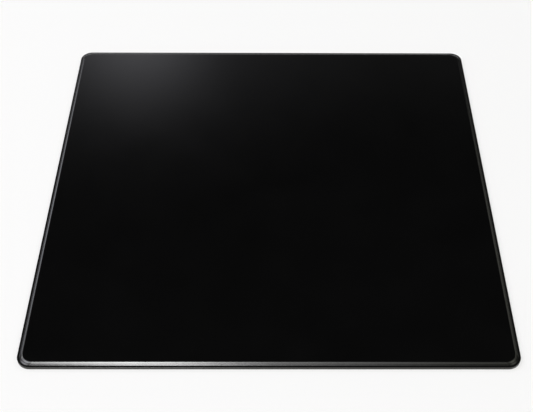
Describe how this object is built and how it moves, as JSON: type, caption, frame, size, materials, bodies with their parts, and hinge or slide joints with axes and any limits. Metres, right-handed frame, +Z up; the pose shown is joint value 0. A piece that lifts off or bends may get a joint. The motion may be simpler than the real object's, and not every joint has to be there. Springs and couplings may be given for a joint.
{
  "type": "self healing cutting mat",
  "caption": "Plain black self healing cutting mat: a flat laminate of bonded plies with round corners and a stepped, bevelled edge.",
  "frame": {"origin": "centre of the underside, on the surface that the mat lies on", "axes": "+Z up out of the work surface, +X to the right and +Y to the back as the mat lies in front of its user"},
  "size_m": [0.305, 0.305, 0.0032],
  "materials": {
    "top_skin_pvc": "satin black soft PVC with a very fine pebble grain",
    "middle_pvc": "black PVC, smooth where the edge is cut",
    "core_pvc": "black stiff PVC, smooth where the edge is cut",
    "base_skin_pvc": "matt black soft PVC with a fine anti-slip grain on the underside"
  },
  "bodies": {
    "root": {"base_sheet": "base_skin_pvc", "lower_middle_sheet": "middle_pvc", "core_sheet": "core_pvc", "upper_middle_sheet": "middle_pvc", "top_sheet": "top_skin_pvc"}
  },
  "joints": []
}
